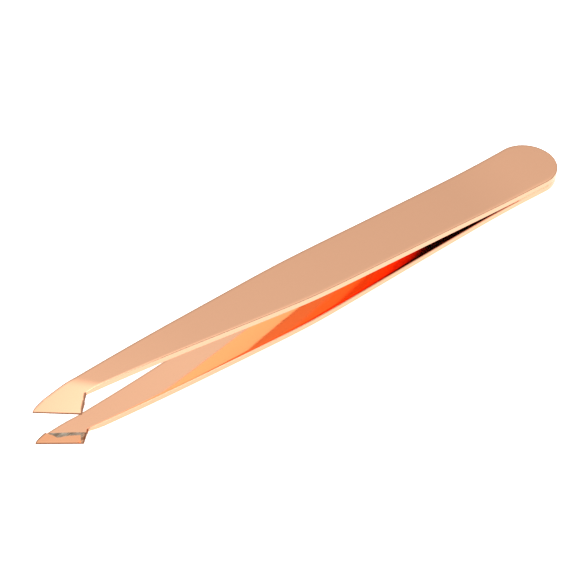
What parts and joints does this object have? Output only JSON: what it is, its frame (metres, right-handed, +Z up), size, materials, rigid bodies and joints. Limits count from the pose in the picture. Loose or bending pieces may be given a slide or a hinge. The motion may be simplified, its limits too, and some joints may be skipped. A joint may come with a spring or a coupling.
{
  "type": "slant tweezers",
  "caption": "Spring tweezers: polished metal strips welded at a round heel, bowed apart and bevelled to a slanted gripping edge.",
  "frame": {"origin": "centre of the bounding box's footprint, at the height of the table the tweezers lie on", "axes": "+X along the length towards the heel, so the jaws point to -X; +Y across the width; +Z up, through the lower strip and then the upper strip"},
  "size_m": [0.095, 0.0098, 0.009],
  "materials": {
    "rose_gold_plate": "mirror-polished rose-gold plating on spring steel",
    "weld_steel": "fused steel, hidden inside the heel"
  },
  "bodies": {
    "heel": {"heel_upper_leaf": "rose_gold_plate", "heel_lower_leaf": "rose_gold_plate", "heel_seam_weld": "weld_steel", "rear_spot_weld": "weld_steel", "front_spot_weld": "weld_steel"},
    "upper_jaw": {"upper_arm": "rose_gold_plate"},
    "lower_jaw": {"lower_arm": "rose_gold_plate"}
  },
  "joints": [
    {"name": "upper_flex", "type": "hinge", "parent": "heel", "child": "upper_jaw", "pos_m": [0.02935, 0, 0.00238], "axis": [0, -1, 0], "range_deg": [0, 2.2], "stiffness_Nm_per_rad": 4.8},
    {"name": "lower_flex", "type": "hinge", "parent": "heel", "child": "lower_jaw", "pos_m": [0.0293, 0, 0.00126], "axis": [0, 1, 0], "range_deg": [0, 2.2], "stiffness_Nm_per_rad": 4.8}
  ],
  "couplings": [
    {"joint": "lower_flex", "follows": "upper_flex", "ratio": 1}
  ]
}
